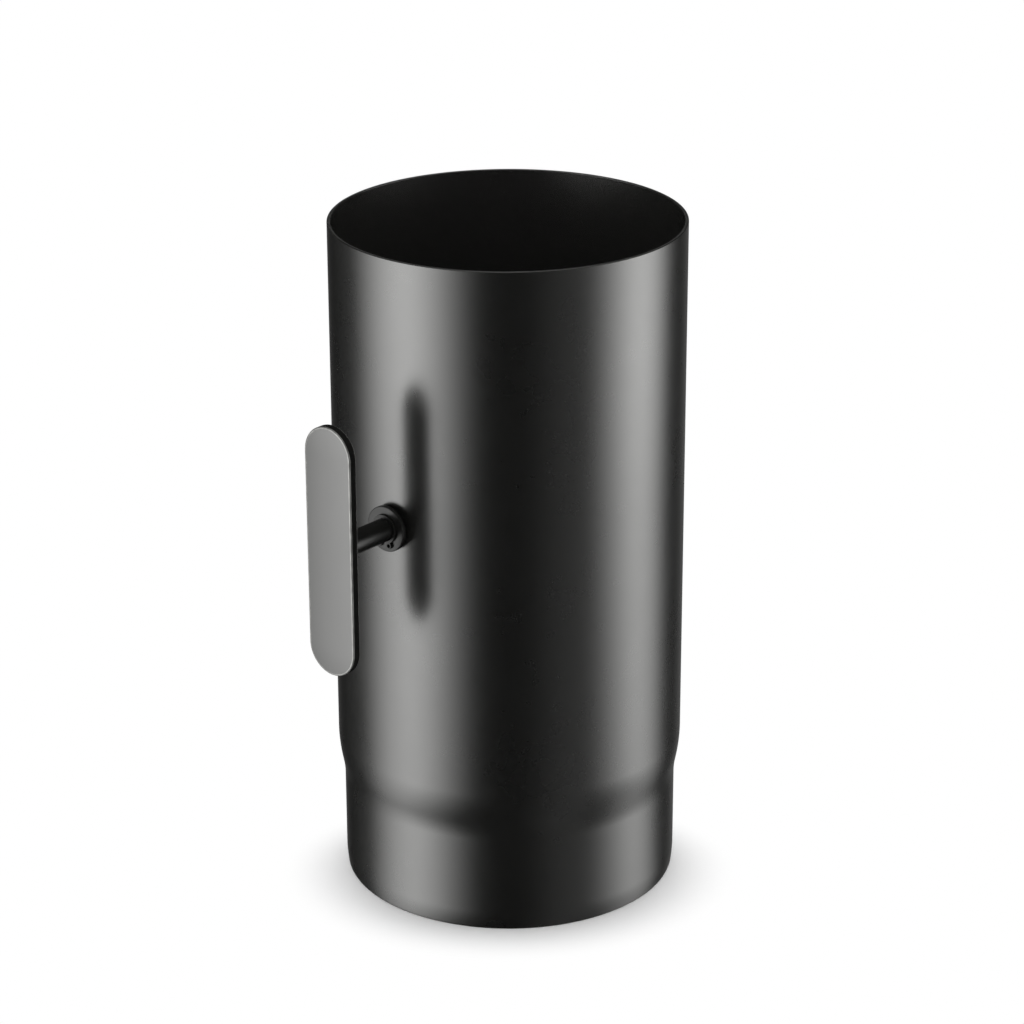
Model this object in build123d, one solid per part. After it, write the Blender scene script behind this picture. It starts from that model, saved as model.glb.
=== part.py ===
from build123d import *
import os
from math import cos, radians, sin, tan

# Stove pipe damper: a pipe section with a flap on a shaft that a handle turns.
# Millimetres and degrees. The origin is the centre of the spigot's end, +Z runs up the pipe to the socket,
# and the shaft lies along Y with the handle on the -Y side. The flap is modelled open.

# Pipe
socket_bore_diameter = 150.0
wall_thickness = 1.5
pipe_length = 300.0
spigot_play = 2.0
spigot_straight_length = 47.0
reduction_radius = 70.0
reduction_slope = 11.0

# Shaft
shaft_diameter = 10.0
shaft_height = 183.0
shaft_running_clearance = 0.08
shaft_end_land = 2.2

# Washers and retaining rings, the same stack outside both walls
stack_wall_gap = 0.2
stack_seat_gap = 0.05
washer_diameter = 20.0
washer_thickness = 2.0
washer_hole_clearance = 0.25
spring_washer_diameter = 17.0
spring_washer_thickness = 0.8
spring_washer_height = 1.3
ring_thickness = 1.0
ring_width_at_top = 1.8
ring_width_at_gap = 1.3
ring_gap = 2.4
ring_lug_radius = 1.4
ring_lug_reach = 7.1
ring_lug_spread = 22.0
ring_hole_diameter = 1.5
ring_groove_depth = 0.2
ring_groove_play = 0.1

# Handle
handle_length = 110.0
handle_width = 25.0
handle_thickness = 4.0
handle_stand_off = 33.7
weld_leg = 2.6
weld_clearance = 0.04

# Flap
flap_wall_clearance = 1.5
flap_thickness = 2.0
flap_open_area = 2000.0
halvings = 50
flap_seat_depth = 1.8
flap_seat_end_play = 0.5

# Flap screws
screw_diameter = 5.0
screw_length = 10.0
screw_head_width = 8.0
screw_head_height = 3.5
screw_hole_clearance = 0.25
screw_thread_clearance = 0.05
screw_washer_diameter = 10.0
screw_washer_thickness = 1.0
screw_reach = 45.0

# Worked out from the sizes above
bore_radius = socket_bore_diameter / 2
pipe_radius = bore_radius + wall_thickness
spigot_radius = bore_radius - spigot_play / 2
slope = radians(reduction_slope)
cone_top_radius = pipe_radius - reduction_radius * (1 - cos(slope))
cone_height = (cone_top_radius - spigot_radius) / tan(slope)
reduction_top = spigot_straight_length + cone_height + reduction_radius * sin(slope)
shaft_radius = shaft_diameter / 2
flap_radius = bore_radius - flap_wall_clearance
flap_seat_x = shaft_radius - flap_seat_depth
flap_face_x = flap_seat_x + flap_thickness
screw_head_x = flap_face_x + screw_washer_thickness
spring_washer_start = pipe_radius + stack_wall_gap
washer_start = spring_washer_start + spring_washer_height + stack_seat_gap
ring_start = washer_start + washer_thickness + stack_seat_gap
groove_start = ring_start - ring_groove_play / 2
groove_end = ring_start + ring_thickness + ring_groove_play / 2
groove_radius = shaft_radius - ring_groove_depth
handle_back = pipe_radius + handle_stand_off
shaft_rear_end = groove_end + shaft_end_land


def shaft_plane(distance, outward):
    """A sketch plane across the shaft, at a distance from the pipe's axis.

    Its normal points away from the pipe, along +Y for outward = 1 and -Y for outward = -1.
    Its local y is the pipe's +Z.
    """
    return Plane(
        origin=(0, outward * distance, shaft_height),
        x_dir=(-outward, 0, 0),
        z_dir=(0, outward, 0),
    )


# Pipe

def wall_line(offset):
    """The wall's line in the XZ plane from the spigot's end to the socket's mouth.

    offset is 0 for the outer face and the wall's thickness for the inner face. The line is the
    straight spigot, the cone of the reduction, and the long arc that leads the cone into the
    straight body and is tangent to both.
    """
    spigot_r = spigot_radius - offset
    body_r = pipe_radius - offset
    arc_r = reduction_radius - offset
    centre_x = pipe_radius - reduction_radius
    cone_top = (centre_x + arc_r * cos(slope), reduction_top - arc_r * sin(slope))
    arc_middle = (centre_x + arc_r * cos(slope / 2), reduction_top - arc_r * sin(slope / 2))
    neck = (spigot_r, cone_top[1] - (cone_top[0] - spigot_r) / tan(slope))
    body_start = (body_r, reduction_top)
    return [
        Line((spigot_r, 0), neck),
        Line(neck, cone_top),
        ThreePointArc(cone_top, arc_middle, body_start),
        Line(body_start, (body_r, pipe_length)),
    ]


def make_flue_pipe():
    """Straight body with an open socket end and a drawn-in spigot, and a hole in each wall for the shaft."""
    outer = wall_line(0)
    inner = wall_line(wall_thickness)
    spigot_end = Line((spigot_radius - wall_thickness, 0), (spigot_radius, 0))
    mouth = Line((bore_radius, pipe_length), (pipe_radius, pipe_length))
    section = make_face(Plane.XZ * Curve(children=outer + inner + [spigot_end, mouth]))
    pipe = revolve(section, axis=Axis.Z)
    drill = Circle(shaft_radius + shaft_running_clearance)
    return pipe - extrude(shaft_plane(0, 1) * drill, amount=pipe_radius + wall_thickness, both=True)


# Shaft with its handle

def make_damper_shaft():
    """Round bar with a ring groove outside each wall and a milled seat with two screw holes for the flap."""
    bar = extrude(shaft_plane(handle_back, -1) * Circle(shaft_radius), amount=-(handle_back + shaft_rear_end))
    groove_sketch = Circle(shaft_diameter) - Circle(groove_radius)
    for outward in (-1, 1):
        bar -= extrude(shaft_plane(groove_start, outward) * groove_sketch, amount=groove_end - groove_start)
    seat_length = 2 * (flap_radius + flap_seat_end_play)
    bar -= Pos(flap_seat_x, 0, shaft_height) * Box(
        shaft_radius, seat_length, shaft_diameter, align=(Align.MIN, Align.CENTER, Align.CENTER)
    )
    for place in screw_places():
        bar -= place * extrude(Circle(screw_diameter / 2), amount=shaft_diameter, both=True)
    return bar


def make_handle_plate():
    """Flat bar with full-round ends, and the weld bead behind it that runs round the shaft."""
    outline = shaft_plane(handle_back, -1) * Rot(0, 0, 90) * SlotOverall(handle_length, handle_width)
    plate = extrude(outline, amount=handle_thickness)
    inner = shaft_radius + weld_clearance
    bead_section = make_face(Polyline((inner, 0), (inner + weld_leg, 0), (inner, weld_leg), close=True))
    bead = revolve(bead_section, axis=Axis.Y)
    return plate + Pos(0, -handle_back, shaft_height) * bead


# Washers and retaining rings

def make_washer(outward):
    """Flat punched washer."""
    sketch = Circle(washer_diameter / 2) - Circle(shaft_radius + washer_hole_clearance)
    return extrude(shaft_plane(washer_start, outward) * sketch, amount=washer_thickness)


def make_spring_washer(outward):
    """Washer bent about a level line: its top and bottom bear on the pipe, its middle on the flat washer."""
    chord = spring_washer_diameter / 2
    rise = spring_washer_height - spring_washer_thickness
    inner_bend = (chord**2 + rise**2) / (2 * rise)
    outer_bend = inner_bend + spring_washer_thickness
    crown = outward * (spring_washer_start + spring_washer_height)
    bend_centre = crown - outward * outer_bend
    along_x = Plane(origin=(0, bend_centre, shaft_height), x_dir=(0, 1, 0), z_dir=(1, 0, 0))
    shell = extrude(
        along_x * (Circle(outer_bend) - Circle(inner_bend)), amount=spring_washer_diameter, both=True
    )
    sketch = Circle(spring_washer_diameter / 2) - Circle(shaft_radius + washer_hole_clearance)
    reach = extrude(shaft_plane(pipe_radius, outward) * sketch, amount=washer_start - pipe_radius)
    return shell & reach


def make_retaining_ring(outward):
    """External ring in the shaft's groove, widest at the top, with two pierced lugs beside the gap below."""
    inner = groove_radius + stack_seat_gap
    outer = inner + (ring_width_at_top + ring_width_at_gap) / 2
    lift = (ring_width_at_top - ring_width_at_gap) / 2
    lug_x = ring_lug_reach * sin(radians(ring_lug_spread))
    lug_y = -ring_lug_reach * cos(radians(ring_lug_spread))
    sketch = Pos(0, lift) * Circle(outer)
    for side in (-1, 1):
        lean = side * ring_lug_spread
        neck = Pos(side * lug_x, lug_y) * Rot(0, 0, lean) * Rectangle(
            2 * ring_lug_radius, ring_lug_reach - inner, align=(Align.CENTER, Align.MIN)
        )
        sketch += Pos(side * lug_x, lug_y) * Circle(ring_lug_radius) + neck
    sketch -= Circle(inner)
    sketch -= Rectangle(ring_gap, 2 * ring_lug_reach, align=(Align.CENTER, Align.MAX))
    for side in (-1, 1):
        sketch -= Pos(side * lug_x, lug_y) * Circle(ring_hole_diameter / 2)
    return extrude(shaft_plane(ring_start, outward) * sketch, amount=ring_thickness)


# Flap

def straight_side_distance():
    """How far the flap's straight sides lie from the shaft's axis.

    The two segments cut off have the open area between them. Each measures R*R*(a - sin(a)*cos(a))
    for the half angle a that it spans, and the angle is found by halving the interval.
    """
    low, high = 0.0, radians(90)
    for _ in range(halvings):
        angle = (low + high) / 2
        area = 2 * flap_radius**2 * (angle - sin(angle) * cos(angle))
        if area < flap_open_area:
            low = angle
        else:
            high = angle
    return flap_radius * cos(angle)


def screw_places():
    """Where the flap's screws sit, looking along +X, with the origin on the shaft's axis."""
    return [
        Plane(origin=(0, y, shaft_height), x_dir=(0, 1, 0), z_dir=(1, 0, 0))
        for y in (-screw_reach, screw_reach)
    ]


def make_damper_flap():
    """Disc on the milled seat, parallel to the handle, with two straight sides and two screw holes."""
    face_plane = Plane(origin=(flap_seat_x, 0, shaft_height), x_dir=(0, 1, 0), z_dir=(1, 0, 0))
    outline = Circle(flap_radius) & Rectangle(2 * flap_radius, 2 * straight_side_distance())
    flap = extrude(face_plane * outline, amount=flap_thickness)
    for place in screw_places():
        flap -= place * extrude(Circle(screw_diameter / 2 + screw_hole_clearance), amount=2 * flap_face_x)
    return flap


def make_flap_screws():
    """Two hexagon screws through the flap into the shaft."""
    hexagon = RegularPolygon(screw_head_width / 2, 6, major_radius=False)
    shank_circle = Circle(screw_diameter / 2 - screw_thread_clearance)
    screws = []
    for place in screw_places():
        under_head = place.offset(screw_head_x)
        head = extrude(under_head * hexagon, amount=screw_head_height)
        shank = extrude(under_head * shank_circle, amount=-screw_length)
        screws.append(head + shank)
    return Compound(children=screws)


def make_flap_screw_washers():
    """Two washers between the screws' heads and the flap."""
    ring = Circle(screw_washer_diameter / 2) - Circle(screw_diameter / 2 + screw_hole_clearance)
    return Compound(
        children=[
            extrude(place.offset(flap_face_x) * ring, amount=screw_washer_thickness)
            for place in screw_places()
        ]
    )


nodes = {
    "flue_pipe": make_flue_pipe(),
    "damper_shaft": make_damper_shaft(),
    "handle_plate": make_handle_plate(),
    "front_spring_washer": make_spring_washer(-1),
    "front_washer": make_washer(-1),
    "front_retaining_ring": make_retaining_ring(-1),
    "rear_spring_washer": make_spring_washer(1),
    "rear_washer": make_washer(1),
    "rear_retaining_ring": make_retaining_ring(1),
    "damper_flap": make_damper_flap(),
    "flap_screws": make_flap_screws(),
    "flap_screw_washers": make_flap_screw_washers(),
}

os.makedirs("parts", exist_ok=True)
for name, shape in nodes.items():
    export_step(shape, f"parts/{name}.step")
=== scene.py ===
import logging
from dataclasses import dataclass, field
from enum import Enum
from math import cos, degrees, pi, radians, sin, tan
from typing import Any

import bmesh
import bpy
import numpy as np
from mathutils import Matrix, Vector


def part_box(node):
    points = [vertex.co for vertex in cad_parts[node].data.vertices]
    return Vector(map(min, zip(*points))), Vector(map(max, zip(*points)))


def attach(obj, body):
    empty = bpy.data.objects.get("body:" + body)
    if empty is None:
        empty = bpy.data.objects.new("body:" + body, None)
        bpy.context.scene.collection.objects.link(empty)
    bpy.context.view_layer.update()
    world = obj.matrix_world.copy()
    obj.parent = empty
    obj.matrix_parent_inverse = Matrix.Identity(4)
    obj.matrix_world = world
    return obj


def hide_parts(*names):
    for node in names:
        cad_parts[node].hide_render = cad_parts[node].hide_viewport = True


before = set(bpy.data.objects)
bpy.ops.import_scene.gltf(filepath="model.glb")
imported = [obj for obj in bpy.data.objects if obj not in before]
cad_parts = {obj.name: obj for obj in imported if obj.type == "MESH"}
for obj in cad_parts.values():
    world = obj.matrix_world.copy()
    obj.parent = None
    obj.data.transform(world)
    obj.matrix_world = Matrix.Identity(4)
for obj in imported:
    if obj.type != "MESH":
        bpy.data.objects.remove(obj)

# Looks of a stove pipe damper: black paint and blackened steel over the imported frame.
# Metres, in the part's own frame: +Z runs up the pipe, the shaft lies along Y, the handle is on the -Y side.

log = logging.getLogger("stove_pipe_damper")

MM = 0.001

# Sizes that more than one piece or finish needs.
PIPE_LENGTH = 300.0 * MM
BODY_RADIUS = 76.5 * MM
SPIGOT_RADIUS = 74.0 * MM
SHEET = 1.5 * MM
SHAFT_HEIGHT = 183.0 * MM
BAR_LENGTH = 110.0 * MM
BAR_WIDTH = 25.0 * MM

# How meshes are finished.
MERGE_DISTANCE = 1e-7
SHARP_EDGE = radians(38)
FLAT_ANGLE = radians(0.3)
CORNER_POINTS = 6
BEVEL_SEGMENTS = 3
BEVEL_ANGLE = radians(40)

# Bearing of the photograph's camera from the part, in degrees from -Y towards +X.
VIEW_BEARING = 40.24

BODY_PIPE = "pipe"
BODY_DAMPER = "damper"

Grid = np.ndarray
Place = tuple[float, float, float]
Spot = tuple[float, float]


class Slot(Enum):
    """The record's material slots."""

    STOVE_PAINT = "stove_paint"
    HANDLE_PAINT = "handle_paint"
    SHAFT_STEEL = "shaft_steel"
    FASTENER_STEEL = "fastener_steel"
    FLAP_STEEL = "flap_steel"


class Side(Enum):
    """The two places where the shaft leaves the pipe's wall, with their direction along Y."""

    FRONT = -1
    REAR = 1

    @property
    def word(self) -> str:
        """The side's word in the names of its pieces."""
        return self.name.lower()


# Meshes from grids of points


@dataclass
class Surface:
    """Grids of points that become one closed mesh.

    Attributes:
        name: The piece's name.
        points: Arrays of points, each with three columns.
        quads: Arrays of faces, each with four columns of point numbers.
        count: How many points it has so far.
    """

    name: str
    points: list[np.ndarray] = field(default_factory=list)
    quads: list[np.ndarray] = field(default_factory=list)
    count: int = 0

    def add_points(self, points: Grid) -> np.ndarray:
        """Adds points.

        Args:
            points: An array whose last axis holds x, y and z.

        Returns:
            The numbers of the new points, in the shape of the array without its last axis.
        """
        shape = points.shape[:-1]
        numbers = np.arange(self.count, self.count + int(np.prod(shape))).reshape(shape)
        self.points.append(points.reshape(-1, 3))
        self.count += numbers.size
        return numbers

    def add_faces(self, *corners: np.ndarray) -> None:
        """Adds one quad for each set of four point numbers, in order round the face."""
        self.quads.append(np.stack(corners, axis=-1).reshape(-1, 4))

    def add_strip(self, first: np.ndarray, second: np.ndarray) -> None:
        """Joins two closed rings of the same number of points with quads."""
        self.add_faces(first, np.roll(first, -1), np.roll(second, -1), second)

    def add_grid(self, points: Grid, rows_close: bool = False) -> np.ndarray:
        """Adds a grid whose columns close on themselves, with a quad in each cell.

        Args:
            points: The grid, rows by columns by three.
            rows_close: Whether the last row also joins the first.

        Returns:
            The numbers of the grid's points.
        """
        numbers = self.add_points(points)
        upper = np.roll(numbers, -1, axis=0) if rows_close else numbers[1:]
        lower = numbers if rows_close else numbers[:-1]
        self.add_faces(lower, np.roll(lower, -1, axis=1), np.roll(upper, -1, axis=1), upper)
        return numbers

    def make(self) -> bpy.types.Object:
        """Makes the mesh object, with its doubles merged and its faces turned outwards.

        Returns:
            The new piece.
        """
        mesh = bpy.data.meshes.new(self.name)
        mesh.from_pydata(np.concatenate(self.points), [], np.concatenate(self.quads))
        piece = bpy.data.objects.new(self.name, mesh)
        bpy.context.scene.collection.objects.link(piece)
        tidy_mesh(mesh)
        return piece


def tidy_mesh(mesh: bpy.types.Mesh, flatten: bool = False) -> None:
    """Merges a mesh's doubles, turns its faces outwards and shades it smooth between its sharp edges.

    Args:
        mesh: The mesh to tidy.
        flatten: Whether faces that lie in one plane are joined.
    """
    work = bmesh.new()
    work.from_mesh(mesh)
    bmesh.ops.remove_doubles(work, verts=work.verts, dist=MERGE_DISTANCE)
    if flatten:
        bmesh.ops.dissolve_limit(work, angle_limit=FLAT_ANGLE, verts=work.verts, edges=work.edges)
    bmesh.ops.recalc_face_normals(work, faces=work.faces)
    work.to_mesh(mesh)
    work.free()
    mesh.shade_smooth()
    mesh.set_sharp_from_angle(angle=SHARP_EDGE)


def arc(centre: Spot, radius: float, start: float, end: float, steps: int) -> Grid:
    """Points on an arc: the centre plus the radius times the cosine and sine of evenly spaced angles.

    Args:
        centre: The arc's centre.
        radius: Its radius.
        start: Its first angle in degrees.
        end: Its last angle in degrees.
        steps: The number of steps between them.

    Returns:
        An array of points with two columns.
    """
    angles = np.radians(np.linspace(start, end, steps + 1))
    return np.column_stack([centre[0] + radius * np.cos(angles), centre[1] + radius * np.sin(angles)])


def rounded_box_profile(low: Spot, high: Spot, edges: tuple[float, float, float, float]) -> Grid:
    """A closed rectangle with a quarter round of a few points at each corner.

    Args:
        low: The lowest corner.
        high: The highest corner.
        edges: The radius at the low-low, high-low, high-high and low-high corners.

    Returns:
        An array of points with two columns, in order round the rectangle.
    """
    (left, bottom), (right, top) = low, high
    centres = (
        (left + edges[0], bottom + edges[0]),
        (right - edges[1], bottom + edges[1]),
        (right - edges[2], top - edges[2]),
        (left + edges[3], top - edges[3]),
    )
    starts = (180, 270, 0, 90)
    return np.concatenate(
        [
            arc(centre, edge, start, start + 90, CORNER_POINTS - 1)
            for centre, edge, start in zip(centres, edges, starts)
        ]
    )


def turned_about_z(profile: Grid, columns: int) -> Grid:
    """A profile of radius and height turned about the pipe's axis.

    Each point is radius times cosine, radius times sine, height, for evenly spaced angles.

    Args:
        profile: Points of radius and height.
        columns: The number of angles.

    Returns:
        A grid of points, with a row for each point of the profile.
    """
    angles = np.arange(columns) * 2 * pi / columns
    radius, height = profile[:, :1], profile[:, 1:]
    return np.stack(
        [radius * np.cos(angles), radius * np.sin(angles), np.broadcast_to(height, (len(profile), columns))],
        axis=-1,
    )


def turned_about_shaft(profile: Grid, columns: int) -> Grid:
    """A profile of radius and place along Y turned about the shaft's axis.

    Each point is radius times cosine, the place along Y, the axis's height plus radius times sine.

    Args:
        profile: Points of radius and place along Y.
        columns: The number of angles.

    Returns:
        A grid of points, with a row for each point of the profile.
    """
    return turned_about_z(profile, columns)[..., [0, 2, 1]] + (0.0, 0.0, SHAFT_HEIGHT)


def dress(
    piece: bpy.types.Object, body: str, material: bpy.types.Material, nodes: tuple[str, ...] = ()
) -> None:
    """Gives a new piece its body, its material and the CAD nodes that it stands for.

    Args:
        piece: The new piece.
        body: The body that it moves with.
        material: Its finish.
        nodes: The CAD nodes that it replaces.
    """
    piece.data.materials.clear()
    piece.data.materials.append(material)
    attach(piece, body)
    if nodes:
        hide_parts(*nodes)
    log.info("%s: %d faces, rides on %s", piece.name, len(piece.data.polygons), body)


def softened_copy(node: str, name: str, edge: float) -> bpy.types.Object:
    """A merged copy of a CAD node with its edges rounded by a bevel.

    Args:
        node: The CAD node.
        name: The new piece's name.
        edge: The bevel's width.

    Returns:
        The new piece.
    """
    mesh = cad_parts[node].data.copy()
    mesh.name = name
    piece = bpy.data.objects.new(name, mesh)
    bpy.context.scene.collection.objects.link(piece)
    tidy_mesh(mesh, flatten=True)
    bevel = piece.modifiers.new("broken_edges", "BEVEL")
    bevel.width = edge
    bevel.segments = BEVEL_SEGMENTS
    bevel.limit_method = "ANGLE"
    bevel.angle_limit = BEVEL_ANGLE
    bevel.harden_normals = True
    return piece


# Shader maths and nodes


@dataclass(frozen=True)
class Amount:
    """A number that changes over a surface, written in plain arithmetic.

    Attributes:
        shader: The shader that its nodes belong to.
        socket: The float output that carries it.
    """

    shader: "Shader"
    socket: bpy.types.NodeSocket

    def __add__(self, other: "Amount | float") -> "Amount":
        """This amount plus another."""
        return self.shader.maths("ADD", self, other)

    def __radd__(self, other: float) -> "Amount":
        """A number plus this amount."""
        return self.shader.maths("ADD", other, self)

    def __sub__(self, other: "Amount | float") -> "Amount":
        """This amount less another."""
        return self.shader.maths("SUBTRACT", self, other)

    def __rsub__(self, other: float) -> "Amount":
        """A number less this amount."""
        return self.shader.maths("SUBTRACT", other, self)

    def __mul__(self, other: "Amount | float") -> "Amount":
        """This amount times another."""
        return self.shader.maths("MULTIPLY", self, other)

    def __rmul__(self, other: float) -> "Amount":
        """A number times this amount."""
        return self.shader.maths("MULTIPLY", other, self)

    def step(self, low: float, high: float) -> "Amount":
        """Rises smoothly from 0 at low to 1 at high, or falls where low is the larger.

        Args:
            low: The value at which it is 0.
            high: The value at which it is 1.

        Returns:
            An amount between 0 and 1.
        """
        ranged = self.shader.node(
            "ShaderNodeMapRange",
            {"interpolation_type": "SMOOTHSTEP"},
            {"Value": self, "From Min": min(low, high), "From Max": max(low, high)},
        )
        rising = Amount(self.shader, ranged.outputs["Result"])
        return rising if high >= low else 1.0 - rising


class Shader:
    """The node tree of one material or of the world, with one way to add any node."""

    def __init__(self, owner: bpy.types.Material | bpy.types.World) -> None:
        """Empties the owner's node tree and keeps it.

        Args:
            owner: The material or the world.
        """
        owner.use_nodes = True
        self.tree = owner.node_tree
        self.tree.nodes.clear()

    def node(
        self, kind: str, settings: dict[str, Any] | None = None, inputs: dict[str | int, Any] | None = None
    ) -> bpy.types.Node:
        """Adds a node.

        Args:
            kind: Blender's name for the type of node.
            settings: Its own settings, which are set first.
            inputs: A number, colour, vector, socket or amount for each named or numbered socket.

        Returns:
            The new node.
        """
        made = self.tree.nodes.new(kind)
        for key, value in (settings or {}).items():
            setattr(made, key, value)
        for key, value in (inputs or {}).items():
            if isinstance(value, Amount):
                self.tree.links.new(value.socket, made.inputs[key])
            elif isinstance(value, bpy.types.NodeSocket):
                self.tree.links.new(value, made.inputs[key])
            else:
                made.inputs[key].default_value = value
        return made

    def maths(self, operation: str, *values: Amount | float) -> Amount:
        """Adds a Math node with these inputs and returns its result."""
        made = self.node("ShaderNodeMath", {"operation": operation}, dict(enumerate(values)))
        return Amount(self, made.outputs[0])

    def distance(self, *steps: Amount) -> Amount:
        """The distance that these steps at right angles add up to."""
        return self.maths("SQRT", sum(step * step for step in steps))

    def places(self, stretch: Place = (1.0, 1.0, 1.0)) -> bpy.types.NodeSocket:
        """Object coordinates, each axis multiplied by its stretch."""
        coordinates = self.node("ShaderNodeTexCoord").outputs["Object"]
        return self.node("ShaderNodeMapping", None, {"Vector": coordinates, "Scale": stretch}).outputs[0]

    def axes(self) -> tuple[Amount, Amount, Amount]:
        """The x, y and z of the Object coordinates as three amounts."""
        apart = self.node("ShaderNodeSeparateXYZ", None, {"Vector": self.places()})
        return tuple(Amount(self, output) for output in apart.outputs)

    def noise(self, size: float, detail: float, stretch: Place = (1.0, 1.0, 1.0)) -> Amount:
        """Noise between 0 and 1.

        Args:
            size: About how large its blotches are, in metres.
            detail: How many times finer noise is laid over it.
            stretch: How much narrower the blotches are along each axis.

        Returns:
            The noise as an amount.
        """
        made = self.node(
            "ShaderNodeTexNoise", None, {"Vector": self.places(stretch), "Scale": 1 / size, "Detail": detail}
        )
        return Amount(self, made.outputs[0])

    def cells(self, size: float) -> Amount:
        """Distance to the middle of the nearest cell, in parts of the cells' size."""
        made = self.node("ShaderNodeTexVoronoi", None, {"Vector": self.places(), "Scale": 1 / size})
        return Amount(self, made.outputs["Distance"])

    def blend(
        self, share: Amount, first: Place | bpy.types.NodeSocket, second: Place | bpy.types.NodeSocket
    ) -> bpy.types.NodeSocket:
        """A colour between two others.

        Args:
            share: How far it is from the first to the second, from 0 to 1.
            first: The first colour, plain or from a node.
            second: The second one.

        Returns:
            The colour's socket.
        """
        ends = [end if isinstance(end, bpy.types.NodeSocket) else (*end, 1.0) for end in (first, second)]
        made = self.node("ShaderNodeMix", {"data_type": "RGBA"}, {0: share, 6: ends[0], 7: ends[1]})
        return made.outputs[2]

    def mottle(self, share: Amount, colour: Place, change: float) -> bpy.types.NodeSocket:
        """A colour that goes from darker to lighter by a share of itself.

        Args:
            share: How far it is from its darkest to its lightest, from 0 to 1.
            colour: The colour in the middle.
            change: The share by which it changes either way.

        Returns:
            The colour's socket.
        """
        darkest, lightest = (tuple(scale * part for part in colour) for scale in (1 - change, 1 + change))
        return self.blend(share, darkest, lightest)

    def bump(self, height: Amount, depth: float) -> bpy.types.NodeSocket:
        """A normal from a height between 0 and 1 that stands for a depth in metres."""
        made = self.node("ShaderNodeBump", None, {"Height": height, "Distance": depth, "Strength": 1.0})
        return made.outputs[0]

    def output(self, surface: bpy.types.Node, kind: str = "ShaderNodeOutputMaterial") -> None:
        """Sends a surface's node to the output."""
        self.node(kind, None, {"Surface": surface.outputs[0]})


# Finishes


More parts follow.
